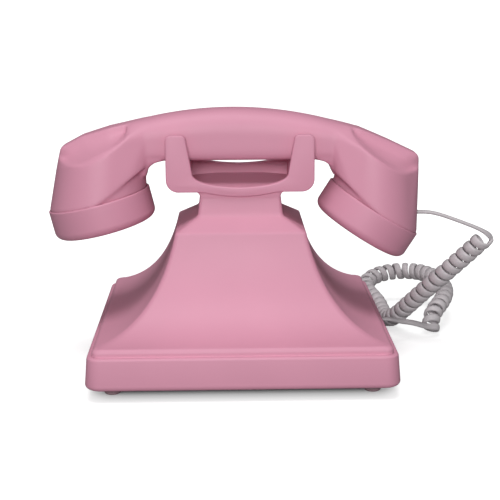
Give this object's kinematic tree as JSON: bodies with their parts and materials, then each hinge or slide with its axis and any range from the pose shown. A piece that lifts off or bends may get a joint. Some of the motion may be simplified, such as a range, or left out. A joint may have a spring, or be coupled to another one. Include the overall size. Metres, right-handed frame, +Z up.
{
  "type": "desk telephone",
  "caption": "Small pink reproduction desk telephone: concave square base, raised cradle, rotary dial, heavy handset and a curly cord.",
  "frame": {"origin": "on the table, under the middle of the phone's width and of the base's depth; the base's own middle is at x = -0.004 m", "axes": "+Z is up, the dial faces -Y, the earpiece is at +X and the mouthpiece with the cord at -X"},
  "size_m": [0.2851, 0.2314, 0.1614],
  "materials": {
    "pink_plastic": "satin moulded pink plastic",
    "wheel_plastic": "satin pink plastic, a shade deeper",
    "cord_plastic": "soft light grey vinyl with a pink cast",
    "foot_rubber": "matt beige-pink rubber",
    "steel": "plain zinc-plated steel",
    "brass": "plain brass",
    "ivory_plastic": "satin ivory plastic",
    "black_plastic": "matt black plastic",
    "board": "green laminate",
    "copper": "copper wire and strip"
  },
  "bodies": {
    "base": {"body_shell": "pink_plastic", "dial_housing": "pink_plastic", "cradle": "pink_plastic", "cord_handset_lead": "cord_plastic", "cord_coil": "cord_plastic", "cord_base_lead": "cord_plastic", "base_plug": "cord_plastic", "feet": "foot_rubber", "base_screws": "steel", "ballast_weight": "steel", "dial_base_plate": "steel", "finger_stop": "steel", "return_spring": "steel", "plunger_springs": "steel", "cradle_screws": "steel", "ringer_frame": "steel", "gong_screws": "steel", "clapper_pin": "steel", "gong_left": "brass", "gong_right": "brass", "number_plate": "ivory_plastic", "bottom_plate": "black_plastic", "hook_contacts": "black_plastic", "board_parts": "black_plastic", "volume_switch": "black_plastic", "base_jack": "black_plastic", "line_jack": "black_plastic", "circuit_board": "board", "impulse_contacts": "copper", "ringer_coils": "copper"},
    "handset": {"handset_shell": "pink_plastic", "ear_cap": "pink_plastic", "mouth_cap": "pink_plastic", "receiver_capsule": "steel", "transmitter_capsule": "black_plastic", "handset_jack": "black_plastic", "handset_plug": "cord_plastic"},
    "dial": {"finger_wheel": "wheel_plastic", "dial_centre_cap": "ivory_plastic", "dial_shaft": "steel", "main_gear": "brass"},
    "pinion": {"impulse_pinion": "brass"},
    "hook": {"hook_plungers": "ivory_plastic"},
    "clapper": {"clapper": "steel"},
    "volume": {"volume_slider": "ivory_plastic"}
  },
  "joints": [
    {"name": "handset_lift", "type": "slide", "parent": "base", "child": "handset", "axis": [0, 0, 1], "range_m": [0, 0.06]},
    {"name": "hook_switch", "type": "slide", "parent": "base", "child": "hook", "axis": [0, 0, 1], "range_m": [0, 0.004], "deforming": ["plunger_springs"]},
    {"name": "dial_turn", "type": "hinge", "parent": "base", "child": "dial", "pos_m": [-0.004, -0.0629, 0.06065], "axis": [0, 0.7431, -0.6692], "range_deg": [0, 310], "stiffness_Nm_per_rad": 0.004, "springref_deg": -51.57},
    {"name": "pinion_spin", "type": "hinge", "parent": "base", "child": "pinion", "pos_m": [-0.004, -0.04584, 0.0796], "axis": [0, 0.7431, -0.6692], "range_deg": [-1550, 0]},
    {"name": "clapper_swing", "type": "hinge", "parent": "base", "child": "clapper", "pos_m": [-0.004, 0.02, 0.024], "axis": [0, 0, 1], "range_deg": [-6.5, 6.5]},
    {"name": "volume_slide", "type": "slide", "parent": "base", "child": "volume", "axis": [1, 0, 0], "range_m": [0, 0.004]}
  ],
  "couplings": [
    {"joint": "hook_switch", "follows": "handset_lift", "ratio": 0.06666},
    {"joint": "pinion_spin", "follows": "dial_turn", "ratio": -5}
  ]
}
